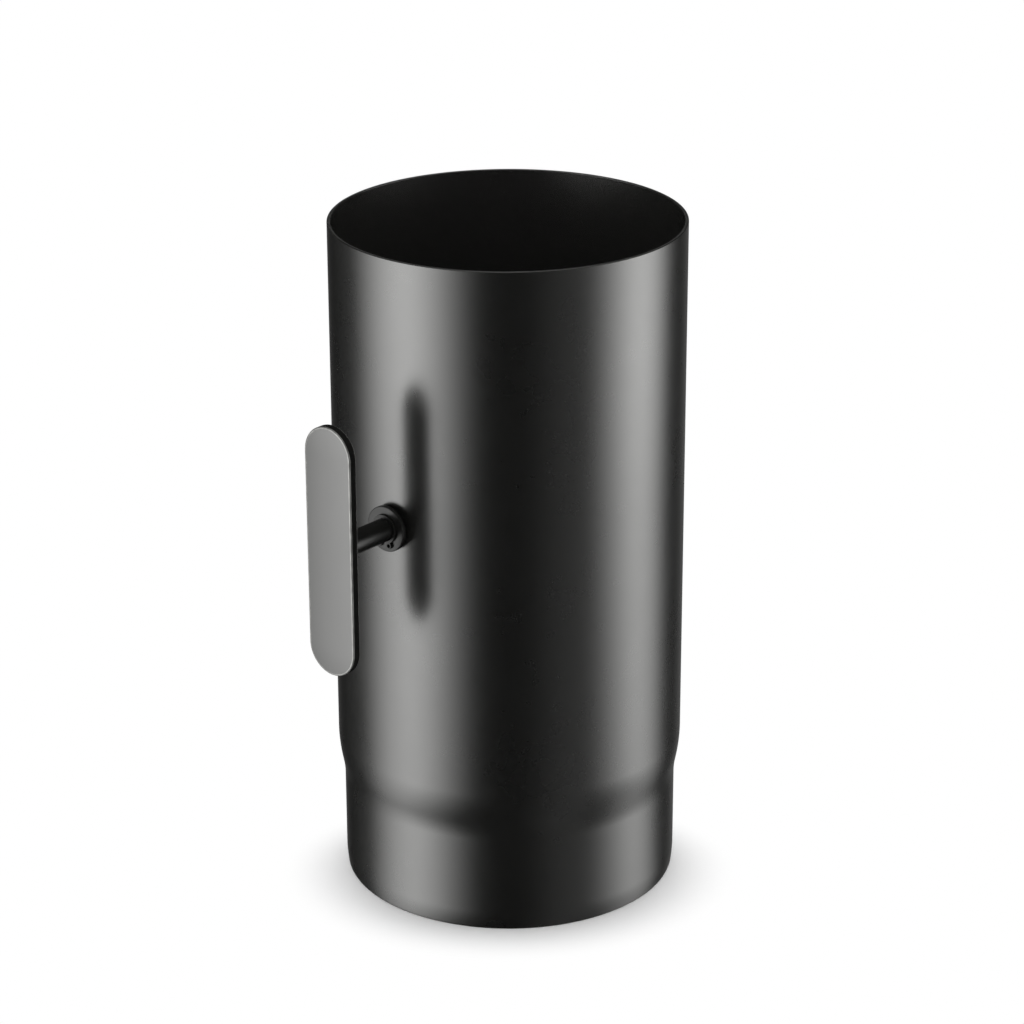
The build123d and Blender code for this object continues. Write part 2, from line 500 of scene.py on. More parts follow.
@dataclass(frozen=True)
class BlackPaint:
    """Baked black stove paint: satin, with a fine orange peel, a few nibs and edges scuffed through to
    steel.

    All sizes are in metres.

    Attributes:
        name: The material's name.
        colour: The paint's colour.
        rubbed_and_highlight_colour: The colour of the steel that shows through where the paint is scuffed
            through; on the handle's bar, the colour of a painted highlight along its edges.
        roughness: Middle roughness of the paint.
        gloss: Specular level at the surface.
        drift_size: Size of the broad blotches in colour and gloss.
        cloud_size: Size of the smaller blotches.
        tint_change: How much darker or lighter the blotches are, as a share.
        unevenness: How much the roughness changes over the broad and over the smaller blotches.
        peel_size: Size of the orange peel.
        powder_size: Size of the powder's grain.
        nib_spacing: Spacing of the nibs.
        nib_reach: Distances from a nib's middle between which it rises, as shares of the spacing.
        relief: Heights of the peel, the grain and the nibs, as shares of the depth.
        depth: Depth of the relief.
        rims: Heights between which the edge of a rim is scuffed through.
        rim_patches: Size of the scuffed patches along the rims.
        rim_limits: Values of the noise between which such a patch begins.
        rim_wear: How far the paint is scuffed through there, from 0 to 1.
        wear_and_highlight_roughness: How much rougher the surface is where the paint is scuffed through, or
            where a painted highlight lies.
        wear_and_highlight_metal: How metallic it is there.
        sheet_middle: Radius of the middle of the pipe's sheet in the spigot and in the body, or zeros.
        drawn: Heights between which the first of these radii turns into the second.
        inner_step: Distance into the sheet over which the inner side's lighter colour begins.
        lightened_inner_colour: Colour of the sheet's inner side, lighter than the paint: painted light that
            brightens the inside of the pipe.
        dullness: How much rougher the sheet's inner side is, or smoother where negative.
    """

    name: str
    colour: Place = (0.0072, 0.0073, 0.0066)
    rubbed_and_highlight_colour: Place = (0.060, 0.060, 0.057)
    roughness: float = 0.28
    gloss: float = 0.75
    drift_size: float = 55.0 * MM
    cloud_size: float = 9.0 * MM
    tint_change: float = 0.14
    unevenness: Spot = (0.05, 0.04)
    peel_size: float = 0.9 * MM
    powder_size: float = 0.22 * MM
    nib_spacing: float = 11.0 * MM
    nib_reach: Spot = (0.035, 0.015)
    relief: Place = (0.72, 0.2, 0.4)
    depth: float = 0.0026 * MM
    rims: tuple[Spot, ...] = ()
    rim_patches: float = 4.5 * MM
    rim_limits: Spot = (0.52, 0.72)
    rim_wear: float = 0.55
    wear_and_highlight_roughness: float = 0.08
    wear_and_highlight_metal: float = 0.7
    sheet_middle: Spot = (0.0, 0.0)
    drawn: Spot = (44.0 * MM, 64.0 * MM)
    inner_step: float = 0.2 * MM
    lightened_inner_colour: Place = (0.0145, 0.0145, 0.0135)
    dullness: float = -0.06

    def material(self) -> bpy.types.Material:
        """Makes the material.

        Returns:
            The material.
        """
        made = bpy.data.materials.new(self.name)
        shader = Shader(made)
        drift = shader.noise(self.drift_size, detail=3.0)
        cloud = shader.noise(self.cloud_size, detail=4.0)
        grain = shader.noise(self.peel_size, detail=1.0)
        powder = shader.noise(self.powder_size, detail=2.0)
        nibs = shader.cells(self.nib_spacing).step(*self.nib_reach)
        inside = self.inner_side(shader)
        # A lighter steel colour is blended in here: real scuffs at the pipe's rims, and on the handle's bar
        # a painted highlight along its edges.
        wear_and_highlight_share = self.wear_and_highlight(shader)
        tint = shader.mottle(0.5 * drift + 0.5 * cloud, self.colour, self.tint_change)
        # Painted light: the sheet's inner side takes a lighter colour than the paint, which brightens the
        # inside of the pipe.
        coat = shader.blend(inside, tint, self.lightened_inner_colour)
        broad, small = self.unevenness
        blotches = broad * (drift - 0.5) + small * (cloud - 0.5)
        peel_share, powder_share, nib_share = self.relief
        height = peel_share * grain + powder_share * powder + nib_share * nibs
        surface = shader.node(
            "ShaderNodeBsdfPrincipled",
            None,
            {
                "Base Color": shader.blend(wear_and_highlight_share, coat, self.rubbed_and_highlight_colour),
                "Roughness": self.roughness + blotches + self.wear_and_highlight_roughness * wear_and_highlight_share + self.dullness * inside,
                "Metallic": self.wear_and_highlight_metal * wear_and_highlight_share,
                "Specular IOR Level": self.gloss,
                "Normal": shader.bump(height, self.depth),
            },
        )
        shader.output(surface)
        return made

    def inner_side(self, shader: Shader) -> Amount:
        """Which parts of the surface lie inwards of the middle of the pipe's sheet, as 1.

        Args:
            shader: The material's shader.

        Returns:
            An amount between 0 and 1.
        """
        x, y, height = shader.axes()
        low, high = self.sheet_middle
        middle = low + (high - low) * height.step(*self.drawn)
        return (middle - shader.distance(x, y)).step(0.0, self.inner_step)

    def wear_and_highlight(self, shader: Shader) -> Amount:
        """How far the paint is scuffed through, from 0 to 1: broken patches along the rims.

        Args:
            shader: The material's shader.

        Returns:
            The scuffing as an amount.
        """
        height = shader.axes()[2]
        patches = shader.noise(self.rim_patches, detail=5.0).step(*self.rim_limits)
        return self.rim_wear * patches * sum(height.step(*rim) for rim in self.rims)


@dataclass(frozen=True)
class BarPaint(BlackPaint):
    """The same paint on a flat bar with full-round ends, with a painted highlight: a light, metallic line
    along the bar's edges.

    Attributes:
        length: Length of the bar.
        width: Width of the bar.
        border: Distances from the bar's edge between which the paint gives way to the painted highlight.
        line_patches: Size of the blotches along the painted highlight line.
        line_limits: Values of the noise between which such a blotch begins.
        highlight_strength: How strong the painted highlight is between the blotches, and how much stronger
            it is on them.
    """

    length: float = BAR_LENGTH
    width: float = BAR_WIDTH
    border: Spot = (1.0 * MM, 0.75 * MM)
    line_patches: float = 6.0 * MM
    line_limits: Spot = (0.35, 0.6)
    highlight_strength: Spot = (0.55, 0.35)

    def wear_and_highlight(self, shader: Shader) -> Amount:
        """How strong the painted highlight is, from 0 to 1: an uneven light line along the edges.

        Args:
            shader: The material's shader.

        Returns:
            The wear as an amount.
        """
        x, _, height = shader.axes()
        from_middle = shader.maths("ABSOLUTE", height - SHAFT_HEIGHT)
        beyond = shader.maths("MAXIMUM", from_middle - (self.length - self.width) / 2, 0.0)
        inner, outer = (self.width / 2 - inset for inset in self.border)
        patches = shader.noise(self.line_patches, detail=3.0).step(*self.line_limits)
        least, more = self.highlight_strength
        # Painted highlight: a light line along the bar's rounded edges, patchy along its length.
        return (least + more * patches) * shader.distance(x, beyond).step(inner, outer)


@dataclass(frozen=True)
class BlackSteel:
    """Blackened steel with fine tool or drawing marks.

    All sizes are in metres.

    Attributes:
        name: The material's name.
        colour: Its colour.
        roughness: Middle roughness.
        gloss: Specular level at the surface.
        metal: How metallic it is.
        marks: How much narrower the marks are along each axis.
        mark_size: Spacing of the marks.
        mark_depth: Depth of the marks.
        mark_roughness: How much the roughness changes over the marks.
        pit_size: Size of the small pits.
        relief: Heights of the marks and the pits, as shares of the depth.
        oxide_size: Size of the blotches of oxide.
        oxide_roughness: How much the roughness changes over them.
        blotches: How much darker or lighter they are, as a share.
    """

    name: str
    colour: Place
    roughness: float
    gloss: float
    metal: float = 0.0
    marks: Place = (1.0, 1.0, 1.0)
    mark_size: float = 0.25 * MM
    mark_depth: float = 0.004 * MM
    mark_roughness: float = 0.06
    pit_size: float = 0.5 * MM
    relief: Spot = (0.7, 0.3)
    oxide_size: float = 6.0 * MM
    oxide_roughness: float = 0.14
    blotches: float = 0.35

    def material(self) -> bpy.types.Material:
        """Makes the material.

        Returns:
            The material.
        """
        made = bpy.data.materials.new(self.name)
        shader = Shader(made)
        lines = shader.noise(self.mark_size, detail=2.0, stretch=self.marks)
        oxide = shader.noise(self.oxide_size, detail=5.0)
        pits = shader.noise(self.pit_size, detail=2.0)
        blotches = self.oxide_roughness * (oxide - 0.5)
        line_share, pit_share = self.relief
        surface = shader.node(
            "ShaderNodeBsdfPrincipled",
            None,
            {
                "Base Color": shader.mottle(oxide, self.colour, self.blotches),
                "Roughness": self.roughness + blotches + self.mark_roughness * (lines - 0.5),
                "Metallic": self.metal,
                "Specular IOR Level": self.gloss,
                "Normal": shader.bump(line_share * lines + pit_share * pits, self.mark_depth),
            },
        )
        shader.output(surface)
        return made


# The pipe


@dataclass(frozen=True)
class FluePipe:
    """The painted pipe, open at both ends, with a drawn-in spigot and two punched holes for the shaft.

    Attributes:
        body_radius: Outer radius of the body.
        wall: Thickness of the sheet.
        spigot_radius: Outer radius of the spigot.
        length: Length of the pipe.
        spigot_length: Height at which the spigot meets the reduction's cone.
        reduction_radius: Radius of the long arc that leads the cone into the body.
        reduction_slope: Slope of the cone from the vertical, in degrees.
        reduction_steps: Steps along the long arc.
        neck_radius: Radius of the shallow hollow arc between the spigot and the cone.
        neck_steps: Steps along that arc.
        edge: Radius of the sheet's broken edges.
        foot_edge: Radius of the outer edge of the spigot's end.
        lead_radius: Radius of the gentle arc by which the spigot's end leans in.
        lead_turn: How far it leans in, in degrees.
        lead_steps: Steps along that arc.
        hole_radius: Radius of the holes.
        columns: Points round the pipe.
        patch: Cells on each side of a square patch that a hole sits in.
        hole_rings: Rings of points between the patch's border and the hole.
    """

    body_radius: float = BODY_RADIUS
    wall: float = SHEET
    spigot_radius: float = SPIGOT_RADIUS
    length: float = PIPE_LENGTH
    spigot_length: float = 47.0 * MM
    reduction_radius: float = 70.0 * MM
    reduction_slope: float = 11.0
    reduction_steps: int = 24
    neck_radius: float = 45.0 * MM
    neck_steps: int = 8
    edge: float = 0.3 * MM
    foot_edge: float = 0.5 * MM
    lead_radius: float = 60.0 * MM
    lead_turn: float = 8.0
    lead_steps: int = 12
    hole_radius: float = 5.08 * MM
    columns: int = 360
    patch: int = 12
    hole_rings: int = 4

    def patch_heights(self) -> Grid:
        """The heights of a hole patch's rows, about as far apart as its columns."""
        half = self.body_radius * sin(pi * self.patch / self.columns)
        return SHAFT_HEIGHT + np.linspace(-half, half, self.patch + 1)

    def wall_line(self, offset: float) -> Grid:
        """The wall's line above its lower edge and below its upper one, at an offset into the sheet.

        The points are the hollow arc of the neck, the long arc and the rows of the hole patches. The
        straight spigot, the cone and the straight body are the lines between them. Both arcs are
        tangent to the cone.

        Args:
            offset: Distance from the outer side into the sheet.

        Returns:
            Points of radius and height, from the lowest to the highest.
        """
        turn = self.reduction_slope
        slope = radians(turn)
        cone_top = self.body_radius - self.reduction_radius * (1 - cos(slope))
        cone_height = (cone_top - self.spigot_radius) / tan(slope)
        top = self.spigot_length + cone_height + self.reduction_radius * sin(slope)
        neck_height = self.spigot_length - self.neck_radius * tan(slope / 2)
        neck = (self.spigot_radius + self.neck_radius, neck_height)
        shoulder = (self.body_radius - self.reduction_radius, top)
        heights = self.patch_heights()
        return np.concatenate(
            [
                arc(neck, self.neck_radius + offset, 180, 180 - turn, self.neck_steps),
                arc(shoulder, self.reduction_radius - offset, -turn, 0, self.reduction_steps),
                np.column_stack([np.full(len(heights), self.body_radius - offset), heights]),
            ]
        )

    def lead_in(self) -> Grid:
        """The spigot's outer edge, a small arc from the end plane, and the gentle arc above it.

        Both arcs are tangent where they meet, and the upper one is tangent to the spigot's wall.

        Returns:
            Points of radius and height, from the lowest to the highest.
        """
        between = self.lead_radius - self.foot_edge
        turn = radians(self.lead_turn)
        top = (self.spigot_radius - self.lead_radius, self.foot_edge + between * sin(turn))
        low = (top[0] + between * cos(turn), self.foot_edge)
        return np.concatenate(
            [
                arc(low, self.foot_edge, 270, 360 - self.lead_turn, CORNER_POINTS - 1),
                arc(top, self.lead_radius, -self.lead_turn, 0, self.lead_steps)[1:],
            ]
        )

    def build(self) -> bpy.types.Object:
        """Turns the closed section of the sheet about the axis and sets a hole in each wall.

        The section goes round from the foot's inner edge over the outer side and the rim to the
        inner side.

        Returns:
            The pipe.
        """
        outer, inner = self.wall_line(0.0), self.wall_line(self.wall)
        spigot = rounded_box_profile(
            (self.spigot_radius - self.wall, 0.0), (self.spigot_radius, self.length), (self.edge,) * 4
        )
        body = spigot + (self.body_radius - self.spigot_radius, 0.0)
        foot = np.concatenate([spigot[:CORNER_POINTS], self.lead_in()])
        rim = body[2 * CORNER_POINTS :]
        section = np.concatenate([foot, outer, rim, inner[::-1]])
        surface = Surface("painted_pipe")
        numbers = surface.add_points(turned_about_z(section, self.columns))
        cells = np.ones(numbers.shape, dtype=bool)
        rows = self.patch + 1
        outer_rows = np.arange(len(foot) + len(outer) - rows, len(foot) + len(outer))
        inner_rows = (len(foot) + len(outer) + len(rim) + np.arange(rows))[::-1]
        for side in Side:
            middle = self.columns // 4 if side is Side.REAR else 3 * self.columns // 4
            columns = middle + np.arange(-(self.patch // 2), self.patch // 2 + 1)
            cells[np.ix_(outer_rows[:-1], columns[:-1])] = False
            cells[np.ix_(inner_rows[1:], columns[:-1])] = False
            mouth = self.hole_mouth(surface, section, numbers, outer_rows, columns, side)
            root = self.hole_mouth(surface, section, numbers, inner_rows, columns, side)
            surface.add_strip(mouth, root)
        along = np.roll(numbers, -1, axis=1)
        above, beyond = np.roll(numbers, -1, axis=0), np.roll(along, -1, axis=0)
        surface.add_faces(numbers[cells], along[cells], beyond[cells], above[cells])
        return surface.make()

    def hole_mouth(
        self,
        surface: Surface,
        section: Grid,
        numbers: np.ndarray,
        rows: np.ndarray,
        columns: np.ndarray,
        side: Side,
    ) -> np.ndarray:
        """Fills a square patch of the wall with rings that go from its border to the hole.

        The border goes along the patch's lowest row, up its last column, back along its highest row
        and down its first column. A ring's points lie a share of the way from the border to the
        circle, and are then moved along Y onto the wall's cylinder.

        Args:
            surface: The pipe's surface.
            section: The turned profile.
            numbers: The numbers of the grid's points.
            rows: The patch's rows, from its lowest to its highest.
            columns: The patch's columns.
            side: The wall that the patch is in.

        Returns:
            The numbers of the points on the hole's edge.
        """
        last = len(rows) - 1
        sides = [np.zeros(last), np.arange(last), np.full(last, last), np.arange(last, 0, -1)]
        up = np.concatenate(sides).astype(int)
        border_rows, border_columns = rows[up], columns[np.roll(up, -last)]
        radius = section[rows[0], 0]
        angle = border_columns * 2 * pi / self.columns
        across = radius * np.cos(angle)
        height = section[border_rows, 1] - SHAFT_HEIGHT
        bearing = np.arctan2(height, self.body_radius * np.cos(angle))
        share = np.linspace(0, 1, self.hole_rings + 1)[1:, None]
        x = (1 - share) * across + share * self.hole_radius * np.cos(bearing)
        z = (1 - share) * height + share * self.hole_radius * np.sin(bearing)
        y = side.value * np.sqrt(radius**2 - x**2)
        rings = surface.add_points(np.stack([x, y, SHAFT_HEIGHT + z], axis=-1))
        border = numbers[border_rows, border_columns]
        for ring in rings:
            surface.add_strip(border, ring)
            border = ring
        return border

    def dress(self, paint: bpy.types.Material) -> None:
        """Builds the pipe and dresses it."""
        dress(self.build(), BODY_PIPE, paint, ("flue_pipe",))


# The handle and the shaft


@dataclass(frozen=True)
class Handle:
    """Flat bar with full-round ends, welded to the shaft's end.

    Attributes:
        length: Length of the bar.
        width: Width of the bar.
        edge: Radius of its broken edges.
        arc_steps: Steps round each end of the bar.
        side_steps: Steps along each straight side.
        shaft_radius: Radius of the shaft.
        weld_leg: Leg of the weld bead.
        weld_gap: Gap between the bead and the shaft.
        weld_bulge: How far the bead stands proud of a flat fillet.
        weld_ripples: Ripples round the bead.
        ripple_depth: Their depth.
        ripple_bend: How far their middle lags behind their ends, as an angle in their own wave.
        weld_rows: Points across the bead's face.
        weld_columns: Points round the bead.
    """

    length: float = BAR_LENGTH
    width: float = BAR_WIDTH
    edge: float = 0.5 * MM
    arc_steps: int = 64
    side_steps: int = 20
    shaft_radius: float = 5.0 * MM
    weld_leg: float = 2.6 * MM
    weld_gap: float = 0.04 * MM
    weld_bulge: float = 0.35 * MM
    weld_ripples: int = 34
    ripple_depth: float = 0.07 * MM
    ripple_bend: float = 2.6
    weld_rows: int = 17
    weld_columns: int = 512

    def faces(self) -> tuple[float, float, float]:
        """The bar's front, its back and the weld's rear end along Y, from the CAD node's box."""
        low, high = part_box("handle_plate")
        return low.y, high.y - self.weld_leg, high.y

    def build_bar(self) -> bpy.types.Object:
        """The bar as rings about its spine.

        The spine is the line between the centres of the two round ends. Each point lies a distance
        from the spine along the outline's normal, and the distance and depth follow a profile that
        goes from the front's middle over both rounded edges to the back's middle.

        Returns:
            The bar.
        """
        front, back, _ = self.faces()
        radius = self.width / 2
        half = self.length / 2 - radius
        bend = np.linspace(0, pi, self.arc_steps + 1)
        sides = np.linspace(1, -1, self.side_steps + 1)[1:-1]
        flat = np.zeros(len(sides))
        normal_x = np.concatenate([np.cos(bend), flat - 1, np.cos(bend + pi), flat + 1])
        normal_z = np.concatenate([np.sin(bend), flat, np.sin(bend + pi), flat])
        spine = half * np.concatenate([np.ones(len(bend)), sides, -np.ones(len(bend)), -sides])
        box = rounded_box_profile((-radius, front), (radius, back), (self.edge,) * 4)
        rim = box[CORNER_POINTS : 3 * CORNER_POINTS]
        profile = np.concatenate([[(0.0, front)], rim, [(0.0, back)]])
        away, depth = profile[:, :1], profile[:, 1:]
        points = np.stack(
            [
                away * normal_x,
                np.broadcast_to(depth, (len(profile), len(spine))),
                SHAFT_HEIGHT + spine + away * normal_z,
            ],
            axis=-1,
        )
        surface = Surface("handle_bar")
        surface.add_grid(points)
        return surface.make()

    def sheared_faces(self, bar: bpy.types.Object) -> np.ndarray:
        """Which of the bar's faces belong to the flat band between its two rounded edges.

        Args:
            bar: The bar.

        Returns:
            A true or false value for each face.
        """
        front, back, _ = self.faces()
        centres = np.empty(len(bar.data.polygons) * 3)
        bar.data.polygons.foreach_get("center", centres)
        depth = centres[1::3]
        return (depth > front + self.edge) & (depth < back - self.edge)

    def build_weld(self) -> bpy.types.Object:
        """The bead as a turned fillet whose face swells outwards and ripples round the shaft.

        The face goes from the toe on the bar to the root on the shaft. It stands proud by the bulge
        times the sine of the share of the way, and by the ripple's depth times the cosine of the
        ripples, bent back in the middle of the bead as a pool of weld metal sets.

        Returns:
            The bead.
        """
        _, back, rear = self.faces()
        inner = self.shaft_radius + self.weld_gap
        share = np.linspace(0, 1, self.weld_rows)[:, None]
        angle = np.arange(self.weld_columns) * 2 * pi / self.weld_columns
        ripple = np.cos(self.weld_ripples * angle + self.ripple_bend * np.sin(pi * share))
        proud = np.sin(pi * share) * (self.weld_bulge + self.ripple_depth * ripple)
        radius = inner + self.weld_leg * (1 - share) + proud / np.sqrt(2)
        along = np.minimum(back + (rear - back) * share + proud / np.sqrt(2), rear)
        radius = np.vstack([radius, np.full_like(angle, inner)])
        along = np.vstack([along, np.full_like(angle, back)])
        points = np.stack([radius * np.cos(angle), along, SHAFT_HEIGHT + radius * np.sin(angle)], axis=-1)
        surface = Surface("handle_weld")
        surface.add_grid(points, rows_close=True)
        return surface.make()

    def dress(self, paint: bpy.types.Material, sheared: bpy.types.Material) -> None:
        """Builds the bar and its weld and dresses them.

        Args:
            paint: The paint on both.
            sheared: The finish of the bar's sheared band.
        """
        bar = self.build_bar()
        dress(bar, BODY_DAMPER, paint, ("handle_plate",))
        bar.data.materials.append(sheared)
        bar.data.polygons.foreach_set("material_index", self.sheared_faces(bar).astype(np.int32))
        dress(self.build_weld(), BODY_DAMPER, paint, ("handle_plate",))


@dataclass(frozen=True)
class Shaft:
    """The round bar that carries the flap, from the solid with its grooves, seat and screw holes.

    Attributes:
        edge: Bevel on its edges.
    """

    edge: float = 0.2 * MM

    def dress(self, steel: bpy.types.Material) -> None:
        """Softens the solid's edges and dresses it."""
        shaft = softened_copy("damper_shaft", "finished_shaft", self.edge)
        dress(shaft, BODY_DAMPER, steel, ("damper_shaft",))


@dataclass(frozen=True)
class ShaftStack:
    """The spring washer, flat washer and retaining ring where the shaft leaves one wall.

    Attributes:
        side: The wall.
        washer_radius: Outer radius of the flat washer.
        hole_radius: Radius of its hole.
        roll_over: Radius of the washer's punched edge, which faces away from the pipe.
        break_edge: Radius of its other edges.
        ring_edge: Bevel on the retaining ring.
        spring_edge: Bevel on the spring washer.
        columns: Points round the washer.
    """

    side: Side
    washer_radius: float = 10.0 * MM
    hole_radius: float = 5.25 * MM
    roll_over: float = 0.4 * MM
    break_edge: float = 0.12 * MM
    ring_edge: float = 0.14 * MM
    spring_edge: float = 0.12 * MM
    columns: int = 144

    def build_washer(self) -> bpy.types.Object:
        """A rectangle with one rolled-over corner turned about the shaft.

        Returns:
            The flat washer.
        """
        low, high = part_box(f"{self.side.word}_washer")
        edges = [self.break_edge] * 4
        edges[1 if self.side is Side.FRONT else 2] = self.roll_over
        profile = rounded_box_profile((self.hole_radius, low.y), (self.washer_radius, high.y), tuple(edges))
        surface = Surface(f"{self.side.word}_flat_washer")
        surface.add_grid(turned_about_shaft(profile, self.columns), rows_close=True)
        return surface.make()

    def dress(self, washer_steel: bpy.types.Material, ring_steel: bpy.types.Material) -> None:
        """Builds the stack's pieces and dresses them.

        Args:
            washer_steel: The finish of the flat washer.
            ring_steel: The finish of the retaining ring and the spring washer.
        """
        word = self.side.word
        dress(self.build_washer(), BODY_DAMPER, washer_steel, (f"{word}_washer",))
        for part, edge in (("retaining_ring", self.ring_edge), ("spring_washer", self.spring_edge)):
            piece = softened_copy(f"{word}_{part}", f"{word}_{part}_finished", edge)
            dress(piece, BODY_DAMPER, ring_steel, (f"{word}_{part}",))


# The flap and its screws


@dataclass(frozen=True)
class Flap:
    """The flap, its two hexagon screws and their washers.

    Attributes:
        screw_reach: Distance of each screw from the pipe's axis, along Y.
        across_flats: Width of a screw's head.
        head_height: Height of a screw's head.
        crown_share: Width of the head's flat crown, as a share of the width across flats.
        chamfer_angle: Slope of the head's chamfer, in degrees.
        thread_radius: Outer radius of the thread.
        thread_depth: Depth of the thread.
        pitch: Pitch of the thread.
        thread_rows: Points along the thread.
        columns: Points round a screw.
        edge: Bevel on the flap.
        washer_edge: Bevel on the screws' washers.
    """

    screw_reach: float = 45.0 * MM
    across_flats: float = 8.0 * MM
    head_height: float = 3.5 * MM
    crown_share: float = 0.94
    chamfer_angle: float = 30.0
    thread_radius: float = 2.45 * MM
    thread_depth: float = 0.38 * MM
    pitch: float = 0.8 * MM
    thread_rows: int = 110
    columns: int = 96
    edge: float = 0.25 * MM
    washer_edge: float = 0.1 * MM

    def build_screw(self, name: str, reach: float) -> bpy.types.Object:
        """One screw as rings about its own axis, which lies along X.

        The thread's radius follows a triangle wave of the place along the axis less the share of a
        turn. The head's side has the radius of a hexagon, half its width over the cosine of the
        angle from the nearest flat's middle, and it ends where the cone of the chamfer meets it.

        Args:
            name: The piece's name.
            reach: The axis's place along Y.

        Returns:
            The screw.
        """
        low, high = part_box("flap_screws")
        tip, crown = low.x, high.x
        seat = crown - self.head_height
        turn = np.arange(self.columns) / self.columns
        angle = 2 * pi * turn
        along = np.linspace(tip + self.thread_depth, seat, self.thread_rows)[:, None]
        wave = np.abs(2 * ((along / self.pitch - turn) % 1.0) - 1)
        fade = np.clip((seat - along) / self.pitch, 0, 1)
        thread = self.thread_radius - self.thread_depth * wave * fade
        flat = self.across_flats / 2
        hexagon = flat / np.cos(angle % (pi / 3) - pi / 6)
        crown_radius = flat * self.crown_share
        shoulder = crown - (hexagon - crown_radius) * tan(radians(self.chamfer_angle))
        ones = np.ones(self.columns)
        core = self.thread_radius - self.thread_depth
        radius = np.vstack([0 * ones, core * ones, thread, hexagon, hexagon, crown_radius * ones, 0 * ones])
        place = np.vstack(
            [tip * ones, tip * ones, along * ones, seat * ones, shoulder, crown * ones, crown * ones]
        )
        points = np.stack(
            [place, reach + radius * np.cos(angle), SHAFT_HEIGHT + radius * np.sin(angle)], axis=-1
        )
        surface = Surface(name)
        surface.add_grid(points)
        return surface.make()

    def dress(
        self,
        plate_steel: bpy.types.Material,
        screw_steel: bpy.types.Material,
        washer_steel: bpy.types.Material,
    ) -> None:
        """Builds the flap, its screws and their washers and dresses them.

        Args:
            plate_steel: The flap's finish.
            screw_steel: The screws' finish.
            washer_steel: The washers' finish.
        """
        plate = softened_copy("damper_flap", "flap_disc", self.edge)
        dress(plate, BODY_DAMPER, plate_steel, ("damper_flap",))
        for name, reach in (("front_flap_screw", -self.screw_reach), ("rear_flap_screw", self.screw_reach)):
            screw = self.build_screw(name, reach)
            dress(screw, BODY_DAMPER, screw_steel, ("flap_screws",))
        washers = softened_copy("flap_screw_washers", "flap_washers", self.washer_edge)
        dress(washers, BODY_DAMPER, washer_steel, ("flap_screw_washers",))


# The studio


@dataclass(frozen=True)
class GlowCard:
    """A bright card far from the object that only the object's reflections see.

    All angles are in degrees.

    Attributes:
        bearings: Its first and last bearing, from -Y towards +X as seen from the pipe.
        feathers: Widths over which it fades in at the first and out at the last.
        strength: Its brightness.
        low_share: Its brightness near the floor, as a share of the strength.
        rise: Elevations between which that share grows to its full strength.
        lean: How far its bearings turn back for each degree below the bend.
        bend: Elevation above which the bearings hold.
        top: Elevations between which it fades out above.
    """

    bearings: Spot
    feathers: Spot
    strength: float
    low_share: float
    rise: Spot
    lean: float = 0.0
    bend: float = -26.0
    top: Spot = (0.0, 25.0)

    def glow(self, shader: Shader, bearing: Amount, elevation: Amount) -> Amount:
        """The card's brightness in a direction.

        Args:
            shader: The room's shader.
            bearing: Bearing of the direction, in degrees.
            elevation: Its elevation, in degrees.

        Returns:
            The brightness.
        """
        start, end = self.bearings
        fade_in, fade_out = (feather / 2 for feather in self.feathers)
        upright = bearing - self.lean * shader.maths("MINIMUM", elevation - self.bend, 0.0)
        opening = upright.step(start - fade_in, start + fade_in)
        closing = upright.step(end + fade_out, end - fade_out)
        reach = self.low_share + (1 - self.low_share) * elevation.step(*self.rise)
        return self.strength * opening * closing * reach * (1.0 - elevation.step(*self.top))


# The cards' places in the room, named for where the camera sees them in the pipe.
LEFT_BAND = GlowCard(
    (-48.5, -2.0), (54.0, 52.0), strength=7.45, low_share=0.20, rise=(-51.0, -12.0), lean=1.0
)
RIGHT_BAND = GlowCard(
    (109.5, 147.5), (42.0, 38.0), strength=6.5, low_share=0.20, rise=(-37.5, -12.0), lean=-0.9, bend=-23.0
)
MIDDLE_SHEEN = GlowCard((64.0, 106.0), (34.0, 30.0), strength=0.30, low_share=0.90, rise=(-38.0, -15.0))
RIGHT_EDGE = GlowCard((-168.0, -122.0), (36.0, 30.0), strength=0.22, low_share=1.0, rise=(-50.0, -30.0))
LEFT_EDGE = GlowCard((-90.0, -60.0), (50.0, 30.0), strength=0.10, low_share=0.60, rise=(-40.0, -20.0))


